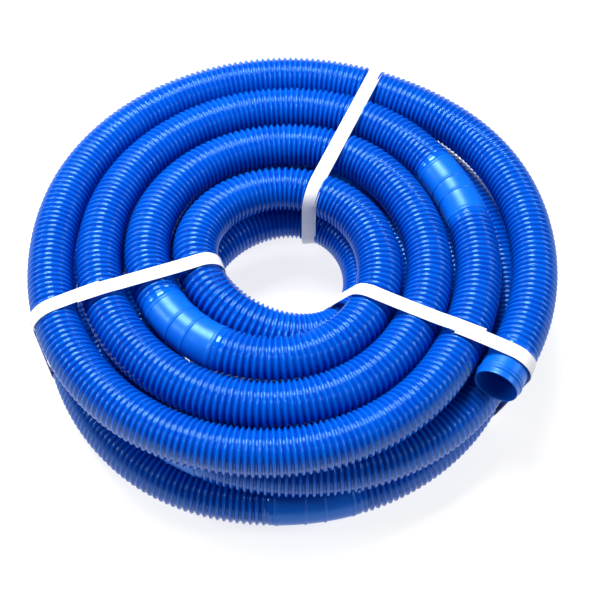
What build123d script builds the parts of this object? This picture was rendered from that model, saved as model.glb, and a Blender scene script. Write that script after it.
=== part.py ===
"""Pool vacuum hose: one corrugated hose with moulded cuffs, wound in three layers and held by three straps.

The coil stands on its straps at z = 0 with its axis on Z. The hose starts at the open end cuff on the
outside of the top layer, winds inwards, drops to the middle layer, winds outwards, drops to the bottom
layer and winds inwards again to the second end cuff. Azimuths are in degrees round the coil's axis,
from +X towards +Y.
"""
from build123d import *
from math import cos, radians, sin, tan
import os

# ---------------------------------------------------------------- driving dimensions (mm)
hose_od = 42.0          # over the crests of the corrugation
hose_wall = 2.4         # depth of the corrugation, crest to bore
turn_gap = 0.5          # free space between neighbouring turns
inner_turn_r = 75.6     # radius of the innermost turn, to the middle of the hose
coil_axis = (-10.4, -8.5)   # the turns are not quite round, so the axis is beside the middle of the box

cuff_od = 40.6          # smooth cuff, a little under the crests
cuff_bore = 38.0        # slides over a 38 mm spigot
ridge_height = 0.8      # ridges that mark where the hose may be cut
ridge_width = 2.4
band_width = 16.2       # from the middle of one ridge of a cuff to the other
end_cuff_length = 34.0  # straight
bead_width = 4.0        # raised bead behind the mouth of an end cuff
bead_height = 1.0
bead_setback = 7.5      # from the mouth to the middle of the bead

strap_width = 13.5
strap_thick = 0.8
strap_gap = 1.1         # free space between a strap and the hose
weld_length = 24.0      # where the strap's end is welded over its start
weld_lap = 1.8          # how far the welded end sits to one side
weld_thick = 0.7
shallowest_turn = 0.5    # mm2; a strap's outline leaves out corners flatter than this

# ---------------------------------------------------------------- the coil
# Radius of every turn at each twelfth of a turn, in turn pitches outside the innermost turn.
# The first column is at azimuth 330, and each row goes once round towards 300.
TOP_LAYER = [
    (3.67, 3.72, 3.79, 3.65, 3.60, 3.48, 3.36, 3.23, 3.25, 3.21, 3.09, 2.89),
    (2.61, 2.50, 2.48, 2.60, 2.57, 2.44, 2.32, 2.21, 2.16, 2.11, 2.04, 1.86),
    (1.61, 1.43, 1.38, 1.46, 1.39, 1.31, 1.25, 1.18, 1.08, 1.03, 1.00, 0.83),
    (0.58, 0.34, 0.20, 0.12, 0.08, 0.08, 0.14, 0.15, 0.07, 0.02, 0.05, 0.14),
]
MIDDLE_LAYER = [
    (0.17, 0.12, 0.12, 0.14, 0.04, -0.02, 0.03, 0.21, 0.50, 0.76, 0.98, 1.15),
    (1.20, 1.15, 1.14, 1.16, 1.08, 1.02, 1.08, 1.28, 1.56, 1.79, 2.00, 2.18),
    (2.22, 2.18, 2.18, 2.19, 2.11, 2.05, 2.11, 2.31, 2.60, 2.81, 3.02, 3.22),
]
BOTTOM_LAYER = [
    (3.33, 3.28, 3.26, 3.30, 3.31, 3.26, 3.21, 3.18, 3.19, 3.27, 3.20, 3.21),
    (3.20, 3.10, 2.88, 2.56, 2.32, 2.22, 2.17, 2.13, 2.13, 2.16, 2.14, 2.14),
    (2.13, 1.99, 1.72),
]
first_station = -30.0                       # azimuth of the first column
mouth_azimuth = -38.0                       # where the outer end cuff opens
drop_to_middle = (3 * 360 + 195, 3 * 360 + 350)   # angle wound when each drop starts and ends
drop_to_bottom = (7 * 360 + 40, 7 * 360 + 170)

# The hose is divided into equal runs; a cuff is two runs long and an end cuff is one.
SECTION_RUNS = (46, 44, 44, 43, 43, 43)

# Each strap lies in an upright plane through these azimuths on the outside and in the hole.
STRAPS = {
    "strap_back": (66.6, 62.4, None),
    "strap_left": (199.9, 196.5, 179.5),
    "strap_right": (329.3, 316.0, 193.0),
}
# The third value is the distance from the axis to the middle of a weld on top of the coil.

# ---------------------------------------------------------------- worked out from the above
turn_pitch = hose_od + turn_gap
hose_r = hose_od / 2
bottom_z = strap_thick + strap_gap + hose_r
middle_z = bottom_z + turn_pitch
top_z = middle_z + turn_pitch
turn_radii = [value for row in TOP_LAYER + MIDDLE_LAYER + BOTTOM_LAYER for value in row]
wound_angle = first_station + 30.0 * (len(turn_radii) - 1)


def ease(share):
    """Smooth step from 0 to 1."""
    share = min(max(share, 0.0), 1.0)
    return share * share * (3 - 2 * share)


def drop_share(angle, drop):
    return ease((angle - drop[0]) / (drop[1] - drop[0]))


def turn_radius(angle):
    """Radius at a wound angle: a smooth curve through the twelfth-of-a-turn values."""
    place = min(max((angle - first_station) / 30.0, 0.0), len(turn_radii) - 1.001)
    index = int(place)
    part = place - index
    last = len(turn_radii) - 1
    before, here, after, beyond = (
        turn_radii[min(max(index + shift, 0), last)] for shift in (-1, 0, 1, 2)
    )
    slope = (after - before) * part
    bend = (2 * before - 5 * here + 4 * after - beyond) * part ** 2
    twist = (3 * here - before - 3 * after + beyond) * part ** 3
    return inner_turn_r + turn_pitch * 0.5 * (2 * here + slope + bend + twist)


def place_at(radius, azimuth, height=0.0):
    """Point at a distance from the coil's axis."""
    return Vector(coil_axis[0] + radius * cos(radians(azimuth)),
                  coil_axis[1] + radius * sin(radians(azimuth)), height)


def coil_point(angle):
    """Middle of the hose after winding to this angle."""
    radius = turn_radius(angle)
    height = top_z - turn_pitch * (drop_share(angle, drop_to_middle) + drop_share(angle, drop_to_bottom))
    return place_at(radius, angle, height)


def even_points(count):
    """Route cut into `count` equal runs: the middles of the runs, and the two ends."""
    fine = [coil_point(mouth_azimuth + 0.5 * step)
            for step in range(int(2 * (wound_angle - mouth_azimuth)) + 1)]
    lengths = [0.0]
    for start, end in zip(fine, fine[1:]):
        lengths.append(lengths[-1] + (end - start).length)
    marks = [0.0] + [lengths[-1] * (number + 0.5) / count for number in range(count)] + [lengths[-1]]
    points = []
    index = 0
    for mark in marks:
        while index < len(lengths) - 2 and lengths[index + 1] < mark:
            index += 1
        share = (mark - lengths[index]) / (lengths[index + 1] - lengths[index])
        points.append(fine[index] + (fine[index + 1] - fine[index]) * share)
    return points


run_count = sum(SECTION_RUNS)
corners = even_points(run_count)


def boundary(number):
    """End of run `number`: halfway between the corners on its two sides."""
    if number == 0:
        return corners[0]
    if number == run_count:
        return corners[-1]
    return (corners[number] + corners[number + 1]) / 2


def route(first, last):
    """Path from one run boundary to another: straight runs joined by tangent arcs."""
    points = [boundary(first)] + corners[first + 1:last + 1] + [boundary(last)]
    radii = []
    for before, here, after in zip(points, points[1:], points[2:]):
        inwards = here - before
        onwards = after - here
        # the end runs are halves of whole runs, so an arc may take nearly all of them
        shorter = min(inwards.length * (2 if before is points[0] else 1),
                      onwards.length * (2 if after is points[-1] else 1))
        radii.append(0.45 * shorter / tan(radians(inwards.get_angle(onwards)) / 2))
    return FilletPolyline(*points, radius=radii), radii


def bend_points(number, steps=6):
    """Points along the smooth bend at one corner, from the middle of one run to the next."""
    start, corner, end = boundary(number), corners[number + 1], boundary(number + 1)
    shares = [step / steps for step in range(steps)]
    return [start * (1 - t) ** 2 + corner * (2 * t * (1 - t)) + end * t ** 2 for t in shares]


centreline = [point for number in range(run_count) for point in bend_points(number)]


def tube(path, outer_r, inner_r):
    """Round tube of constant wall along a path."""
    mouth = Plane(origin=path @ 0, z_dir=path % 0)
    section = mouth * (Circle(outer_r) - Circle(inner_r))
    return sweep(section, path=path)


def ring(path, middle, width, height):
    """Raised ring round a cuff, its middle at this distance along the path, rooted in the wall."""
    share = middle / path.length
    seat = Plane(origin=path @ share, z_dir=path % share)
    section = Circle(cuff_r + height) - Circle((cuff_r + bore_r) / 2)
    return extrude(seat * section, amount=width / 2, both=True)


def write(shape, name):
    shape.label = name
    export_step(shape, f"parts/{name}.step")


os.makedirs("parts", exist_ok=True)
cuff_r = cuff_od / 2
bore_r = cuff_bore / 2

# ---------------------------------------------------------------- hose lengths and their cuffs
cuff_ends = [0]
for runs in SECTION_RUNS:
    cuff_ends.append(cuff_ends[-1] + runs)

for number, (start, end) in enumerate(zip(cuff_ends, cuff_ends[1:]), start=1):
    path, radii = route(start + 1, end - 1)
    write(tube(path, hose_r, hose_r - hose_wall), f"hose_length_{number}")
    print(f"hose_length_{number}: {path.length:.0f} mm, tightest bend {min(radii):.0f} mm")

for number, middle in enumerate(cuff_ends[1:-1], start=1):
    path, radii = route(middle - 1, middle + 1)
    cuff = tube(path, cuff_r, bore_r)
    for side in (-1, 1):
        at = path.length / 2 + side * band_width / 2
        cuff += ring(path, at, ridge_width, ridge_height)
    write(cuff, f"cuff_joint_{number}")

# an end cuff is straight, and carries on in line with the run that it is moulded to
for name, seam, way in (("end_cuff_outer", 1, -1), ("end_cuff_inner", run_count - 1, 1)):
    outwards = (corners[seam + 1] - corners[seam]).normalized() * way
    mouth = boundary(seam) + outwards * end_cuff_length
    path = Line(boundary(seam), mouth)
    cuff = tube(path, cuff_r, bore_r)
    cuff += ring(path, end_cuff_length - bead_setback, bead_width, bead_height)
    write(cuff, name)
    print(f"{name}: mouth {tuple(mouth)}, opens towards {tuple(outwards)}")


# ---------------------------------------------------------------- straps
def tight_outline(places):
    """Corners of the smallest convex outline round some places, anticlockwise."""
    ordered = sorted(places)
    outline = []
    for half in (ordered, ordered[::-1]):
        side = []
        for place in half:
            while len(side) > 1 and turn_of(side[-2], side[-1], place) < shallowest_turn:
                side.pop()
            side.append(place)
        outline += side[:-1]
    return outline


def turn_of(before, here, after):
    """Twice the area of three places' triangle, positive for a left turn."""
    across = (here[0] - before[0]) * (after[1] - before[1])
    return across - (here[1] - before[1]) * (after[0] - before[0])


def strap(outer_azimuth, hole_azimuth, weld_at):
    """Closed band pulled tight round every turn that crosses an upright plane."""
    outer_r = inner_turn_r + turn_pitch * max(turn_radii) + hose_r
    hole_r = inner_turn_r - hose_r
    outside = place_at(outer_r, outer_azimuth)
    inside = place_at(hole_r, hole_azimuth)
    along = (outside - inside).normalized()
    across = Vector(-along.Y, along.X)
    # where the hose crosses the two edges and the middle of the strap: distance along it, and height
    crossings = []
    for edge in (-strap_width / 2, 0.0, strap_width / 2):
        for start, end in zip(centreline, centreline[1:]):
            near = (start - inside).dot(across) - edge
            far = (end - inside).dot(across) - edge
            if near * far < 0 and (start - inside).dot(along) > -hose_r:
                point = start + (end - start) * (near / (near - far))
                distance = (point - inside).dot(along)
                # a turn that crosses at a slant is wider in the strap's plane
                slant = hose_r / abs((end - start).normalized().dot(across)) - hose_r
                crossings += [(distance - slant, point.Z), (distance + slant, point.Z)]
    seat = Plane(origin=inside, x_dir=along, z_dir=-across)

    # a tight strap follows the hull of the hose's middles, one hose radius further out
    middles = make_face(Polyline(*tight_outline(crossings), close=True))
    loop = offset(middles, hose_r + strap_gap + strap_thick) - offset(middles, hose_r + strap_gap)
    band = extrude(seat * loop, amount=strap_width / 2, both=True)
    if weld_at is None:
        return band
    # the welded end lies on top of the band, a little to one side
    strap_top = top_z + hose_r + strap_gap + strap_thick
    middle = inside + along * (weld_at - hole_r) + across * weld_lap
    weld_seat = Plane(origin=(middle.X, middle.Y, strap_top), x_dir=along, z_dir=(0, 0, 1))
    return band + extrude(weld_seat * Rectangle(weld_length, strap_width), amount=weld_thick)


for name, (outer_azimuth, hole_azimuth, weld_at) in STRAPS.items():
    band = strap(outer_azimuth, hole_azimuth, weld_at)
    write(band, name)
    print(f"{name}: lowest point {band.bounding_box().min.Z:.2f} mm")
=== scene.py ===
"""Pool vacuum hose: a coil of blue corrugated hose with moulded cuffs, held by three white straps."""
import math

import bmesh
import bpy
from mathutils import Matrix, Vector


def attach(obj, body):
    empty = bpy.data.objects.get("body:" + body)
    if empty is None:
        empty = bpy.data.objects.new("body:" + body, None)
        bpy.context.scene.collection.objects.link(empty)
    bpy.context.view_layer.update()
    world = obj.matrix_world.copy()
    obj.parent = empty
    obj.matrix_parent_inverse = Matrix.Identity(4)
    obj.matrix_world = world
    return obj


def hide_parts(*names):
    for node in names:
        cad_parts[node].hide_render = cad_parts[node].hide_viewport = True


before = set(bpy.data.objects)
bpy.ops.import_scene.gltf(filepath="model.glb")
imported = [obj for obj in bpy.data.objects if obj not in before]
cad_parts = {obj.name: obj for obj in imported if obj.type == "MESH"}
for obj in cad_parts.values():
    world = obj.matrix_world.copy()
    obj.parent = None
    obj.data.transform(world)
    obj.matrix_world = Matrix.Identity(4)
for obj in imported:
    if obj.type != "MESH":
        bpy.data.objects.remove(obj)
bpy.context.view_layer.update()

# ---------------------------------------------------------------- winding
# The hose is wound cold on a drum: inwards along the top, outwards in the middle and inwards again
# at the bottom. This is the line that every moulded length and cuff is threaded on.
hose_od = 0.042
turn_gap = 0.0005
inner_turn_r = 0.0756
coil_axis = Vector((-0.0104, -0.0085, 0.0))
strap_clear = 0.0019        # strap and its slack, under the lowest turn
turn_pitch = hose_od + turn_gap
top_z = strap_clear + hose_od / 2 + 2 * turn_pitch

# radius of each turn at every twelfth, in turn pitches outside the innermost turn, from azimuth 330
TOP_LAYER = [
    (3.67, 3.72, 3.79, 3.65, 3.60, 3.48, 3.36, 3.23, 3.25, 3.21, 3.09, 2.89),
    (2.61, 2.50, 2.48, 2.60, 2.57, 2.44, 2.32, 2.21, 2.16, 2.11, 2.04, 1.86),
    (1.61, 1.43, 1.38, 1.46, 1.39, 1.31, 1.25, 1.18, 1.08, 1.03, 1.00, 0.83),
    (0.58, 0.34, 0.20, 0.12, 0.08, 0.08, 0.14, 0.15, 0.07, 0.02, 0.05, 0.14),
]
MIDDLE_LAYER = [
    (0.17, 0.12, 0.12, 0.14, 0.04, -0.02, 0.03, 0.21, 0.50, 0.76, 0.98, 1.15),
    (1.20, 1.15, 1.14, 1.16, 1.08, 1.02, 1.08, 1.28, 1.56, 1.79, 2.00, 2.18),
    (2.22, 2.18, 2.18, 2.19, 2.11, 2.05, 2.11, 2.31, 2.60, 2.81, 3.02, 3.22),
]
BOTTOM_LAYER = [
    (3.33, 3.28, 3.26, 3.30, 3.31, 3.26, 3.21, 3.18, 3.19, 3.27, 3.20, 3.21),
    (3.20, 3.10, 2.88, 2.56, 2.32, 2.22, 2.17, 2.13, 2.13, 2.16, 2.14, 2.14),
    (2.13, 1.99, 1.72),
]
turn_radii = [value for row in TOP_LAYER + MIDDLE_LAYER + BOTTOM_LAYER for value in row]
first_station = -30.0
station_step = 30.0
mouth_azimuth = -38.0       # where the outer end cuff opens
wound_angle = first_station + station_step * (len(turn_radii) - 1)
# degrees wound when each drop starts and ends
drop_to_middle = (3 * 360 + 195, 3 * 360 + 350)
drop_to_bottom = (7 * 360 + 40, 7 * 360 + 170)
SECTION_RUNS = (46, 44, 44, 43, 43, 43)     # route runs in each moulded length
run_count = sum(SECTION_RUNS)


def drop_share(angle, drop):
    """How far down a drop has come, with an eased start and end."""
    share = min(max((angle - drop[0]) / (drop[1] - drop[0]), 0.0), 1.0)
    return share * share * (3 - 2 * share)


def turn_radius(angle):
    """Radius of the winding, eased from one station to the next."""
    place = min(max((angle - first_station) / station_step, 0.0), len(turn_radii) - 1.001)
    index = int(place)
    part = place - index
    before, here, after, beyond = (
        turn_radii[min(max(index + shift, 0), len(turn_radii) - 1)] for shift in (-1, 0, 1, 2)
    )
    slope = (after - before) * part
    bend = (2 * before - 5 * here + 4 * after - beyond) * part ** 2
    twist = (3 * here - before - 3 * after + beyond) * part ** 3
    return inner_turn_r + turn_pitch * 0.5 * (2 * here + slope + bend + twist)


def place_at(radius, azimuth, height=0.0):
    turn = math.radians(azimuth)
    return coil_axis + Vector((radius * math.cos(turn), radius * math.sin(turn), height))


def wound_place(angle):
    dropped = drop_share(angle, drop_to_middle) + drop_share(angle, drop_to_bottom)
    return place_at(turn_radius(angle), angle, top_z - turn_pitch * dropped)


def route_corners():
    """The route's corners, evenly spread along the winding, and its two ends."""
    wound = [wound_place(mouth_azimuth + 0.5 * step)
             for step in range(int(2 * (wound_angle - mouth_azimuth)) + 1)]
    lengths = [0.0]
    for start, end in zip(wound, wound[1:]):
        lengths.append(lengths[-1] + (end - start).length)
    inner = [lengths[-1] * (number + 0.5) / run_count for number in range(run_count)]
    corners = []
    index = 0
    for mark in (0.0, *inner, lengths[-1]):
        while index < len(lengths) - 2 and lengths[index + 1] < mark:
            index += 1
        share = (mark - lengths[index]) / (lengths[index + 1] - lengths[index])
        corners.append(wound[index].lerp(wound[index + 1], share))
    return corners


corners = route_corners()
winding = bpy.data.curves.new("hose_winding", "CURVE")
winding.dimensions = "3D"
winding.resolution_u = 64
spline = winding.splines.new("NURBS")
spline.points.add(len(corners) - 1)
for point, corner in zip(spline.points, corners):
    point.co = (*corner, 1.0)
spline.order_u = 3
spline.use_endpoint_u = True
winding_object = bpy.data.objects.new("hose_winding", winding)
bpy.context.scene.collection.objects.link(winding_object)
read_mesh = bpy.data.meshes.new_from_object(
    winding_object.evaluated_get(bpy.context.evaluated_depsgraph_get()))
line = [vertex.co.copy() for vertex in read_mesh.vertices]
bpy.data.objects.remove(winding_object)
bpy.data.meshes.remove(read_mesh)
read_steps = (len(line) - 1) / run_count


def stretch(first, last):
    """The winding line from one place to another, both counted in runs from the outer end."""
    low, high = first * read_steps, last * read_steps
    inner = [line[index] for index in range(math.floor(low) + 1, math.ceil(high))]
    ends = []
    for place in (low, high):
        index = min(int(place), len(line) - 2)
        ends.append(line[index].lerp(line[index + 1], place - index))
    return [ends[0], *inner, ends[1]]


def length_of(points):
    return sum((end - start).length for start, end in zip(points, points[1:]))


# ---------------------------------------------------------------- corrugated hose lengths
# Blow-moulded blue polyethylene tube, in one with the cuffs at its ends. Round rings 5.45 mm apart
# let it bend, and the last two before each cuff fade into a smooth wall.
ring_pitch = 0.00545
ring_depth = 0.0026
run_out_height = 0.7        # of a ring's depth, where the tube meets a cuff
run_out_rings = 2.0
hose_bore_r = 0.018
steps_per_ring = 8
faces_around = 36


def node_maker(tree):
    """Gives a function that adds a node with its settings and its sockets' values or links."""
    def make(kind, values=None, **settings):
        node = tree.nodes.new(kind)
        for key, value in settings.items():
            setattr(node, key, value)
        for socket, value in (values or {}).items():
            if isinstance(value, bpy.types.NodeSocket):
                tree.links.new(value, node.inputs[socket])
            else:
                node.inputs[socket].default_value = value
        return node
    return make


def hose_blue(name, colour, painted_groove_shade, roughness, grain, crest_wear):
    """Glossy blue plastic: paler where the crests are rubbed, darker in the grooves and along the bore as
    painted shade, faintly mottled.
    """
    material = bpy.data.materials.new(name)
    material.use_nodes = True
    tree = material.node_tree
    tree.nodes.clear()
    make = node_maker(tree)
    place = make("ShaderNodeTexCoord").outputs["Object"]
    mottle = make("ShaderNodeTexNoise", {"Vector": place, "Scale": 38.0, "Detail": 4.0, "Roughness": 0.6})
    scuffs = make("ShaderNodeTexNoise", {"Vector": place, "Scale": 210.0, "Detail": 5.0, "Roughness": 0.7})
    crest = make("ShaderNodeAttribute", attribute_name="crest")
    # low crest values (groove bottoms and the bore) take the darker second colour: painted shade
    depth = make("ShaderNodeMapRange", {"Value": crest.outputs["Fac"], "To Min": 0.0, "To Max": 1.0})
    tint = make("ShaderNodeMix", {0: depth.outputs[0], 6: (*painted_groove_shade, 1.0), 7: (*colour, 1.0)},
                data_type="RGBA")
    pale = (0.0, colour[1] * 1.3, min(1.0, colour[2] * 1.12))
    patch = make("ShaderNodeMapRange", {"Value": mottle.outputs[0], "From Min": 0.35, "From Max": 0.75,
                                        "To Min": 0.0, "To Max": 0.35})
    mottled = make("ShaderNodeMix", {0: patch.outputs[0], 6: tint.outputs[2], 7: (*pale, 1.0)},
                   data_type="RGBA")
    rub = make("ShaderNodeMapRange", {"Value": scuffs.outputs[0], "From Min": 0.55, "From Max": 0.8,
                                      "To Min": 0.0, "To Max": crest_wear})
    worn_share = make("ShaderNodeMath", {0: rub.outputs[0], 1: crest.outputs["Fac"]}, operation="MULTIPLY")
    worn = make("ShaderNodeMix", {0: worn_share.outputs[0], 6: mottled.outputs[2], 7: (*pale, 1.0)},
                data_type="RGBA")
    gloss = make("ShaderNodeMapRange", {"Value": scuffs.outputs[0], "From Min": 0.3, "From Max": 0.8,
                                        "To Min": roughness, "To Max": roughness + 0.08})
    bump = make("ShaderNodeBump", {"Height": scuffs.outputs[0], "Strength": grain, "Distance": 0.0004})
    shader = make("ShaderNodeBsdfPrincipled", {
        "Base Color": worn.outputs[2], "Roughness": gloss.outputs[0], "Normal": bump.outputs[0],
        "IOR": 1.6, "Specular Tint": (0.35, 0.75, 1.0, 1.0)})
    make("ShaderNodeOutputMaterial", {"Surface": shader.outputs[0]})
    return material


# the second colour is painted shade for the grooves and the bore
corrugated_plastic = hose_blue("corrugated_blue_plastic", (0.0, 0.095, 0.57), (0.0, 0.032, 0.36),
                               0.07, 0.015, 0.3)


def corrugation_tree():
    """Rings swept along a line: an outer wall whose radius waves, and a plain bore."""
    tree = bpy.data.node_groups.new("corrugated_tube", "GeometryNodeTree")
    face = tree.interface
    face.new_socket("Line", in_out="INPUT", socket_type="NodeSocketGeometry")
    for label, kind, value in (("Rings", "Int", 1), ("Steps per ring", "Int", steps_per_ring),
                               ("Faces around", "Int", faces_around), ("Crest radius", "Float", hose_od / 2),
                               ("Ring depth", "Float", ring_depth), ("Bore radius", "Float", hose_bore_r),
                               ("Run-out rings", "Float", run_out_rings), ("Plastic", "Material", None)):
        socket = face.new_socket(label, in_out="INPUT", socket_type="NodeSocket" + kind)
        if value is not None:
            socket.default_value = value
    face.new_socket("Tube", in_out="OUTPUT", socket_type="NodeSocketGeometry")
    make = node_maker(tree)
    given = make("NodeGroupInput").outputs

    def work_out(operation, first, second, third=0.0):
        return make("ShaderNodeMath", {0: first, 1: second, 2: third}, operation=operation).outputs[0]

    path = make("GeometryNodeMeshToCurve", {"Mesh": given["Line"]}).outputs[0]
    steps = work_out("MULTIPLY", given["Rings"], given["Steps per ring"])
    stations = make("GeometryNodeResampleCurve", {"Curve": path, "Count": work_out("ADD", steps, 1.0)})
    index = make("GeometryNodeInputIndex").outputs[0]
    rings_in = work_out("DIVIDE", index, given["Steps per ring"])
    phase = work_out("MULTIPLY", rings_in, 2 * math.pi)
    wave = work_out("MULTIPLY_ADD", work_out("COSINE", phase, 0.0), -0.5, 0.5)
    from_end = work_out("MINIMUM", rings_in, work_out("SUBTRACT", given["Rings"], rings_in))
    full = make("ShaderNodeMapRange", {"Value": from_end, "From Max": given["Run-out rings"]},
                interpolation_type="SMOOTHSTEP").outputs[0]
    height = work_out("MULTIPLY_ADD", work_out("SUBTRACT", wave, run_out_height), full, run_out_height)
    dip = work_out("MULTIPLY", work_out("SUBTRACT", 1.0, height), given["Ring depth"])
    marked = make("GeometryNodeStoreNamedAttribute", {
        "Geometry": stations.outputs[0], "Name": "crest", "Value": height},
        data_type="FLOAT", domain="POINT")
    circle = make("GeometryNodeCurvePrimitiveCircle", {"Resolution": given["Faces around"], "Radius": 1.0})
    wall_radius = work_out("SUBTRACT", given["Crest radius"], dip)
    wall = make("GeometryNodeCurveToMesh", {
        "Curve": marked.outputs[0], "Profile Curve": circle.outputs[0], "Scale": wall_radius})
    bore_stations = work_out("ADD", given["Rings"], 1.0)
    bore_line = make("GeometryNodeResampleCurve", {"Curve": path, "Count": bore_stations})
    # the bore is marked as a groove bottom, so it takes the painted shade colour
    bore_marked = make("GeometryNodeStoreNamedAttribute", {
        "Geometry": bore_line.outputs[0], "Name": "crest", "Value": 0.0},
        data_type="FLOAT", domain="POINT")
    bore = make("GeometryNodeCurveToMesh", {
        "Curve": bore_marked.outputs[0], "Profile Curve": circle.outputs[0],
        "Scale": given["Bore radius"]})
    turned = make("GeometryNodeFlipFaces", {"Mesh": bore.outputs[0]})
    joined = make("GeometryNodeJoinGeometry")
    for part in (wall, turned):
        tree.links.new(part.outputs[0], joined.inputs[0])
    smooth = make("GeometryNodeSetShadeSmooth", {"Geometry": joined.outputs[0]})
    real = make("GeometryNodeRealizeInstances", {"Geometry": smooth.outputs[0]})
    painted = make("GeometryNodeSetMaterial", {"Geometry": real.outputs[0], "Material": given["Plastic"]})
    make("NodeGroupOutput", {0: painted.outputs[0]})
    return tree


def grown(name, points, tree, inputs):
    """Plain mesh object made by a tree from a line of points."""
    thread = bpy.data.meshes.new(name + "_line")
    thread.from_pydata(points, [(index, index + 1) for index in range(len(points) - 1)], [])
    starter = bpy.data.objects.new(name + "_line", thread)
    bpy.context.scene.collection.objects.link(starter)
    modifier = starter.modifiers.new("grow", "NODES")
    modifier.node_group = tree
    identifiers = {item.name: item.identifier for item in tree.interface.items_tree}
    for label, value in inputs.items():
        modifier[identifiers[label]] = value
    mesh = bpy.data.meshes.new_from_object(starter.evaluated_get(bpy.context.evaluated_depsgraph_get()))
    bpy.data.objects.remove(starter)
    bpy.data.meshes.remove(thread)
    mesh.name = name
    piece = bpy.data.objects.new(name, mesh)
    bpy.context.scene.collection.objects.link(piece)
    return piece


def close_ends(mesh):
    """Joins the outer wall to the bore at both ends of a tube."""
    work = bmesh.new()
    work.from_mesh(mesh)
    rims = [edge for edge in work.edges if edge.is_boundary]
    middle = sum((edge.verts[0].co for edge in rims), Vector()) / len(rims)
    groups = []
    left = set(rims)
    while left:
        loop = [left.pop()]
        for edge in loop:
            for vertex in edge.verts:
                for other in vertex.link_edges:
                    if other in left:
                        left.remove(other)
                        loop.append(other)
        centre = sum((edge.verts[0].co for edge in loop), Vector()) / len(loop)
        groups.append((centre, loop))
    while groups:
        centre, loop = groups.pop()
        partner = min(groups, key=lambda group: (group[0] - centre).length)
        groups.remove(partner)
        bmesh.ops.bridge_loops(work, edges=loop + partner[1])
    work.to_mesh(mesh)
    work.free()


corrugation = corrugation_tree()
cuff_places = [0]
for runs in SECTION_RUNS:
    cuff_places.append(cuff_places[-1] + runs)
for number, (start, end) in enumerate(zip(cuff_places, cuff_places[1:]), start=1):
    points = stretch(start + 1, end - 1)
    tube = grown(f"corrugated_hose_{number}", points, corrugation, {
        "Rings": round(length_of(points) / ring_pitch), "Plastic": corrugated_plastic})
    close_ends(tube.data)
    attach(tube, "root")
    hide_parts(f"hose_length_{number}")

# ---------------------------------------------------------------- double cuffs
# Smooth collars moulded in one with the hose every metre and a half. The two low ridges in the
# middle show where it may be cut, which leaves a plain cuff on each piece.
cuff_r = 0.0203
cuff_bore_r = 0.019
seam_r = 0.0188             # inside the hose wall, where a cuff starts
rim_rise = 0.0005
rim_width = 0.003
ridge_rise = 0.0008
ridge_width = 0.0024
ridge_apart = 0.0162
cuff_faces_around = 72
cuff_plastic = hose_blue("cuff_blue_plastic", (0.0, 0.098, 0.56), (0.0, 0.08, 0.48), 0.32, 0.02, 0.2)


def frames_along(points, places):
    """Places along a line: their middle and two directions across, without twist."""
    lengths = [0.0]
    for start, end in zip(points, points[1:]):
        lengths.append(lengths[-1] + (end - start).length)
    found = []
    side = None
    for place in places:
        index = 0
        while index < len(points) - 2 and lengths[index + 1] < place:
            index += 1
        share = (place - lengths[index]) / (lengths[index + 1] - lengths[index])
        middle = points[index].lerp(points[index + 1], share)
        # the direction is taken over a few points, so that it turns evenly
        ahead = points[min(index + 3, len(points) - 1)] - points[max(index - 2, 0)]
        ahead.normalize()
        if side is None:
            side = ahead.cross(Vector((0, 0, 1))).normalized()
        side = (side - ahead * side.dot(ahead)).normalized()
        found.append((middle, side, ahead.cross(side)))
    return found


def collar(name, points, profile, material):
    """Closed wall turned round a line. The profile gives distance along and radius."""
    stations = sorted({place for place, radius in profile})
    frames = dict(zip(stations, frames_along(points, stations)))
    spots = []
    for place, radius in profile:
        middle, side, up = frames[place]
        for step in range(cuff_faces_around):
            turn = 2 * math.pi * step / cuff_faces_around
            spots.append(middle + (side * math.cos(turn) + up * math.sin(turn)) * radius)
    faces = []
    for row in range(len(profile)):
        following = (row + 1) % len(profile)
        for step in range(cuff_faces_around):
            beside = (step + 1) % cuff_faces_around
            faces.append((row * cuff_faces_around + step, row * cuff_faces_around + beside,
                          following * cuff_faces_around + beside, following * cuff_faces_around + step))
    mesh = bpy.data.meshes.new(name)
    mesh.from_pydata(spots, [], faces)
    work = bmesh.new()
    work.from_mesh(mesh)
    bmesh.ops.recalc_face_normals(work, faces=work.faces)
    work.to_mesh(mesh)
    work.free()
    mesh.shade_smooth()
    crest = mesh.attributes.new("crest", "FLOAT", "POINT")
    crest.data.foreach_set("value", [1.0] * len(spots))
    mesh.materials.append(material)
    piece = bpy.data.objects.new(name, mesh)
    bpy.context.scene.collection.objects.link(piece)
    return piece


def rounded_bump(middle, width, rise):
    """Profile of a low moulded ridge on a cuff, with eased shoulders."""
    shares = ((-0.8, 0.0), (-0.5, 0.12), (-0.38, 0.55), (-0.22, 0.92), (0.0, 1.0),
              (0.22, 0.92), (0.38, 0.55), (0.5, 0.12), (0.8, 0.0))
    return [(middle + width * along, cuff_r + rise * high) for along, high in shares]


def cuff_start():
    """Profile of a cuff's first millimetres: up out of the hose wall and over a low rim."""
    return [(0.0, seam_r), (0.0001, cuff_r - 0.0002)] + rounded_bump(rim_width * 0.8, rim_width, rim_rise)


def cuff_profile(length):
    """Outside from one end to the other, then back along the bore."""
    outside = cuff_start()
    plain_step = (length / 2 - ridge_apart / 2 - rim_width * 2.4) / 5
    outside += [(rim_width * 1.6 + step * plain_step, cuff_r) for step in range(1, 5)]
    outside += rounded_bump(length / 2 - ridge_apart / 2, ridge_width, ridge_rise)
    outside += [(length / 2 + ridge_apart * share, cuff_r) for share in (-0.2, 0.0, 0.2)]
    mirrored = [(length - along, radius) for along, radius in reversed(outside)]
    half = [pair for pair in outside if pair[0] < length / 2 - 0.0001]
    other = [pair for pair in mirrored if pair[0] > length / 2 + 0.0001]
    bore = [(length * share / 8, cuff_bore_r) for share in range(8, -1, -1)]
    bore[0] = (length, cuff_bore_r - 0.0003)
    bore[-1] = (0.0, cuff_bore_r - 0.0003)
    return half + [(length / 2, cuff_r)] + other + bore[1:-1]


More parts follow.
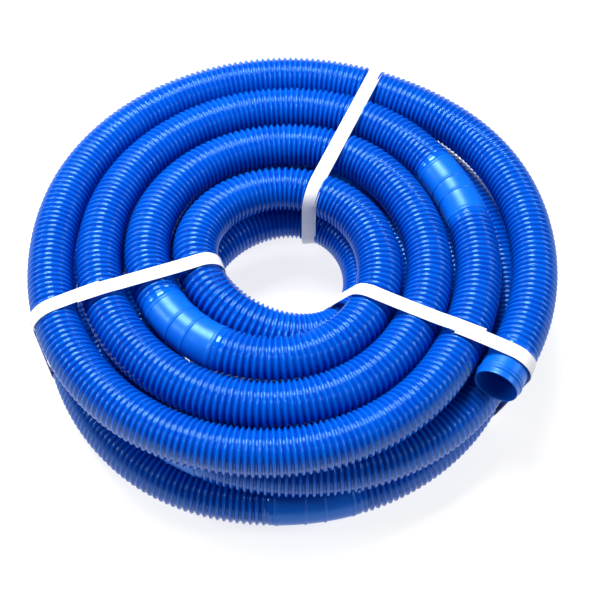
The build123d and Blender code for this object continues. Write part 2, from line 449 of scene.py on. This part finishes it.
for number, middle in enumerate(cuff_places[1:-1], start=1):
    points = stretch(middle - 1, middle + 1)
    piece = collar(f"double_cuff_{number}", points, cuff_profile(length_of(points)), cuff_plastic)
    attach(piece, "root")
    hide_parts(f"cuff_joint_{number}")

# ---------------------------------------------------------------- end cuffs
# Half of a double cuff at each end of the hose, straight, with one bead behind its open mouth. It
# slides over the spigot of a vacuum head, a skimmer or a wall inlet.
end_cuff_length = 0.034


def end_profile():
    """Outside from the hose to the mouth, round the lip, then back along the bore."""
    outside = cuff_start() + [(along * 0.001, cuff_r) for along in (7, 11, 16, 20)]
    # body, groove, bead, narrower collar and lip, as distances from the mouth
    outside += [(end_cuff_length - back, cuff_r + out) for back, out in (
        (0.0116, 0.0), (0.0108, 0.0001), (0.0102, -0.0001), (0.0098, -0.0006), (0.0091, -0.0007),
        (0.0086, -0.0004), (0.0082, 0.0004), (0.0077, 0.0008), (0.0070, 0.0009), (0.0063, 0.0007),
        (0.0058, 0.0001), (0.0052, -0.0004), (0.0044, -0.0005), (0.0030, -0.0005), (0.0014, -0.0005),
        (0.0006, -0.0006), (0.0002, -0.00075), (0.0, -0.0009), (0.0002, -0.0011), (0.0008, -0.0013))]
    return outside + [(along * 0.001, cuff_bore_r) for along in (30, 25, 19, 13, 7, 2)]


for name, node, seam, ahead in (("outer_end_cuff", "end_cuff_outer", 1, -1),
                                ("inner_end_cuff", "end_cuff_inner", run_count - 1, 1)):
    outwards = (corners[seam + 1] - corners[seam]).normalized() * ahead
    root = stretch(seam, seam + 1)[0]
    points = [root + outwards * (end_cuff_length * share / 40) for share in range(41)]
    piece = collar(name, points, end_profile(), cuff_plastic)
    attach(piece, "root")
    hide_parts(node)

# ---------------------------------------------------------------- straps
# White polypropylene tape, 13.5 mm wide, pulled tight round all three layers. Its end is welded over
# its start, a little to one side: on top of the coil, or on the outer side of the back strap.
strap_width = 0.0135
strap_thick = 0.0008
strap_slack = 0.0006
weld_length = 0.024
weld_lap = 0.0026           # how far the two ends lie apart sideways
bow_reach = 0.11            # length over which a strap is pulled aside near its weld
lean_reach = 0.07           # length over which the two ends drift apart
hang_back = 0.09            # sideways, for each unit of depth on the outside
walk_step = 0.002
tape_step = 0.0015
# azimuth outside and in the hole, distance and height of the weld, how far it is pulled aside
STRAPS = {
    "strap_back": (66.6, 62.4, (0.25, 0.06), 0.0),
    "strap_left": (200.6, 196.8, (0.1795, 0.14), -0.0035),
    "strap_right": (329.3, 316.0, (0.193, 0.14), 0.002),
}


def tape_white():
    """Matt white woven tape: fine ribs across it, a soft sheen, faint greying."""
    material = bpy.data.materials.new("white_strap_tape")
    material.use_nodes = True
    tree = material.node_tree
    tree.nodes.clear()
    make = node_maker(tree)
    along = make("ShaderNodeAttribute", attribute_name="along").outputs["Fac"]
    across = make("ShaderNodeAttribute", attribute_name="across").outputs["Fac"]
    run = make("ShaderNodeCombineXYZ", {0: along, 1: across}).outputs[0]
    place = make("ShaderNodeTexCoord").outputs["Object"]
    ribs = make("ShaderNodeTexWave", {"Vector": run, "Scale": 260.0, "Distortion": 0.4, "Detail": 1.0},
                wave_type="BANDS", bands_direction="X")
    warp = make("ShaderNodeTexWave", {"Vector": run, "Scale": 300.0, "Distortion": 0.3},
                wave_type="BANDS", bands_direction="Y")
    weave = make("ShaderNodeMath", {0: ribs.outputs[1], 1: warp.outputs[1]}, operation="ADD")
    clouds = make("ShaderNodeTexNoise", {"Vector": place, "Scale": 60.0, "Detail": 3.0})
    shade = make("ShaderNodeMapRange", {"Value": clouds.outputs[0], "From Min": 0.3, "From Max": 0.7})
    colour = make("ShaderNodeMix", {
        0: shade.outputs[0], 6: (0.66, 0.68, 0.70, 1.0), 7: (0.74, 0.75, 0.76, 1.0)}, data_type="RGBA")
    gloss = make("ShaderNodeMapRange", {"Value": clouds.outputs[0], "To Min": 0.42, "To Max": 0.62})
    bump = make("ShaderNodeBump", {"Height": weave.outputs[0], "Strength": 0.25, "Distance": 0.0002})
    shader = make("ShaderNodeBsdfPrincipled", {
        "Base Color": colour.outputs[2], "Roughness": gloss.outputs[0], "Normal": bump.outputs[0],
        "Subsurface Weight": 0.1, "Subsurface Scale": 0.001})
    make("ShaderNodeOutputMaterial", {"Surface": shader.outputs[0]})
    return material


white_tape = tape_white()


def tape_tree():
    """Flat tape with rounded edges swept along a line, its ends cut square."""
    tree = bpy.data.node_groups.new("strap_tape", "GeometryNodeTree")
    face = tree.interface
    face.new_socket("Line", in_out="INPUT", socket_type="NodeSocketGeometry")
    for label, kind in (("Width", "Float"), ("Thickness", "Float"), ("Step", "Float"),
                        ("Tape", "Material")):
        face.new_socket(label, in_out="INPUT", socket_type="NodeSocket" + kind)
    face.new_socket("Band", in_out="OUTPUT", socket_type="NodeSocketGeometry")
    make = node_maker(tree)
    given = make("NodeGroupInput").outputs
    path = make("GeometryNodeMeshToCurve", {"Mesh": given["Line"]})
    even = make("GeometryNodeResampleCurve", {"Curve": path.outputs[0], "Length": given["Step"]},
                mode="LENGTH")
    along = make("GeometryNodeSplineParameter").outputs["Length"]
    marked = make("GeometryNodeStoreNamedAttribute", {
        "Geometry": even.outputs[0], "Name": "along", "Value": along},
        data_type="FLOAT", domain="POINT")
    section = make("GeometryNodeCurvePrimitiveQuadrilateral", {
        "Width": given["Width"], "Height": given["Thickness"]})
    edge = make("ShaderNodeMath", {0: given["Thickness"], 1: 0.45}, operation="MULTIPLY")
    eased = make("GeometryNodeFilletCurve", {
        "Curve": section.outputs[0], "Radius": edge.outputs[0], "Count": 3}, mode="POLY")
    spot = make("GeometryNodeInputPosition").outputs[0]
    sideways = make("ShaderNodeSeparateXYZ", {0: spot}).outputs[0]
    lined = make("GeometryNodeStoreNamedAttribute", {
        "Geometry": eased.outputs[0], "Name": "across", "Value": sideways},
        data_type="FLOAT", domain="POINT")
    band = make("GeometryNodeCurveToMesh", {
        "Curve": marked.outputs[0], "Profile Curve": lined.outputs[0], "Fill Caps": True})
    real = make("GeometryNodeRealizeInstances", {"Geometry": band.outputs[0]})
    painted = make("GeometryNodeSetMaterial", {"Geometry": real.outputs[0], "Material": given["Tape"]})
    make("NodeGroupOutput", {0: painted.outputs[0]})
    return tree


def strap_line(outer_azimuth, hole_azimuth, weld_at, bow):
    """Line of a tape pulled tight round the turns that cross its plane, from weld to weld."""
    outside = place_at(inner_turn_r + turn_pitch * max(turn_radii) + hose_od / 2, outer_azimuth)
    inside = place_at(inner_turn_r - hose_od / 2, hole_azimuth)
    along = (outside - inside).normalized()
    across = Vector((-along.y, along.x, 0.0))
    crossings = []
    for edge in (-strap_width / 2, 0.0, strap_width / 2):
        for start, end in zip(line[::16], line[16::16]):
            near = (start - inside).dot(across) - edge
            far = (end - inside).dot(across) - edge
            if near * far < 0 and (start - inside).dot(along) > -hose_od / 2:
                place = start.lerp(end, near / (near - far)) - inside
                slant = hose_od / 2 / abs((end - start).normalized().dot(across)) - hose_od / 2
                crossings += [(place.dot(along) - slant, place.z), (place.dot(along) + slant, place.z)]
    # a tight band touches, in each direction, the turn that reaches furthest that way
    reach = hose_od / 2 + strap_slack + strap_thick / 2
    outline = []
    for step in range(0, 360, 2):
        turn = math.radians(-step)
        out = (math.cos(turn), math.sin(turn))
        far, high = max(crossings, key=lambda place: place[0] * out[0] + place[1] * out[1])
        outline.append((Vector((far + reach * out[0], high + reach * out[1])), Vector(out)))
    wanted = Vector(((place_at(weld_at[0], outer_azimuth) - inside).dot(along), weld_at[1]))
    # walk the outline in short steps, starting near the weld
    walk = []
    for (start, out), (end, onward) in zip(outline, outline[1:] + outline[:1]):
        parts = max(1, round((end - start).length / walk_step))
        walk += [(start.lerp(end, part / parts), out.lerp(onward, part / parts)) for part in range(parts)]
    first = min(range(len(walk)), key=lambda index: (walk[index][0] - wanted).length)
    walk = walk[first:] + walk[:first]
    places = [0.0]
    for (start, out), (end, onward) in zip(walk, walk[1:] + walk[:1]):
        places.append(places[-1] + (end - start).length)
    around = places[-1]
    made = []
    count = round((around + weld_length) / tape_step)
    for number in range(count + 1):
        travelled = -weld_length / 2 + (around + weld_length) * number / count
        place = travelled % around
        index = max(spot for spot in range(len(walk)) if places[spot] <= place)
        share = (place - places[index]) / (places[index + 1] - places[index])
        (start, out), (end, onward) = walk[index], walk[(index + 1) % len(walk)]
        spot = start.lerp(end, share)
        normal = out.lerp(onward, share).normalized()
        # the last stretch climbs on to the start, and both drift apart sideways
        left = around + weld_length / 2 - travelled
        climb = min(max((weld_length * 1.7 - left) / (weld_length * 0.6), 0.0), 1.0)
        spot = spot + normal * (strap_thick * 1.04 * climb * climb * (3 - 2 * climb))
        from_weld = min(travelled + weld_length / 2, left)
        near = max(0.0, 1.0 - from_weld / bow_reach)
        aside = bow * near * near * (3 - 2 * near)
        lean = max(0.0, 1.0 - from_weld / lean_reach) ** 2 * weld_lap / 2
        aside += lean if left < around / 2 else -lean
        # lower down on the outside it hangs a little further back
        outer_share = min(max(spot.x / (outside - inside).length, 0.0), 1.0)
        aside += hang_back * outer_share * (top_z - spot.y) * math.copysign(1.0, across.y)
        made.append(inside + along * spot.x + across * aside + Vector((0, 0, spot.y)))
    return made


taping = tape_tree()
for name, (outer_azimuth, hole_azimuth, weld_at, bow) in STRAPS.items():
    band = grown(name + "_tape", strap_line(outer_azimuth, hole_azimuth, weld_at, bow), taping, {
        "Width": strap_width, "Thickness": strap_thick, "Step": tape_step, "Tape": white_tape})
    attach(band, "root")
    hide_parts(name)

# ---------------------------------------------------------------- studio
# A pale level floor under one large soft box, above and behind, and a small one on each side.
floor_mesh = bpy.data.meshes.new("studio_floor")
floor_reach = 6
floor_corners = [(floor_reach * x, floor_reach * y, 0) for x, y in ((-1, -1), (1, -1), (1, 1), (-1, 1))]
floor_mesh.from_pydata(floor_corners, [], [(0, 1, 2, 3)])
floor = bpy.data.objects.new("studio_floor", floor_mesh)
bpy.context.scene.collection.objects.link(floor)
floor_paint = bpy.data.materials.new("studio_white")
floor_paint.use_nodes = True
floor_shader = floor_paint.node_tree.nodes["Principled BSDF"]
for socket, value in (("Base Color", (0.3, 0.3, 0.3, 1)), ("Roughness", 0.8),
                      ("Emission Color", (1, 1, 1, 1)), ("Emission Strength", 0.8)):
    floor_shader.inputs[socket].default_value = value
floor_mesh.materials.append(floor_paint)

world = bpy.data.worlds.new("studio_air")
bpy.context.scene.world = world
world.use_nodes = True
air = world.node_tree.nodes["Background"]
air.inputs["Color"].default_value = (1.0, 1.0, 1.0, 1.0)
make = node_maker(world.node_tree)
seen = make("ShaderNodeLightPath").outputs["Is Camera Ray"]
glow = make("ShaderNodeMapRange", {"Value": seen, "To Min": 0.12, "To Max": 1.0})
world.node_tree.links.new(glow.outputs[0], air.inputs["Strength"])

lamp_target = Vector((0, 0, 0.05))
for name, place, size, power in (("soft_box_above", (-0.35, 0.55, 1.7), 0.9, 66.0),
                                 ("soft_box_left", (-1.6, -0.2, 1.2), 0.5, 12.0),
                                 ("soft_box_right", (1.6, -0.3, 1.1), 0.5, 12.0)):
    lamp = bpy.data.lights.new(name, "AREA")
    lamp.size = size
    lamp.energy = power
    lamp_object = bpy.data.objects.new(name, lamp)
    lamp_object.location = place
    lamp_object.rotation_mode = "QUATERNION"
    lamp_object.rotation_quaternion = (Vector(place) - lamp_target).to_track_quat("Z", "Y")
    bpy.context.scene.collection.objects.link(lamp_object)

bpy.context.scene.view_settings.view_transform = "Standard"

camera_target = Vector((0.0022, 0.0192, 0.0))
camera_distance = 1.176
camera_elevation = math.radians(55.0)
camera = bpy.data.cameras.new("studio_camera")
camera.sensor_width = 36.0
camera.lens = 70.66
camera_object = bpy.data.objects.new("studio_camera", camera)
back = Vector((0.0, -math.cos(camera_elevation), math.sin(camera_elevation)))
camera_object.location = camera_target + back * camera_distance
camera_object.rotation_mode = "QUATERNION"
camera_object.rotation_quaternion = back.to_track_quat("Z", "Y")
bpy.context.scene.collection.objects.link(camera_object)
bpy.context.scene.camera = camera_object
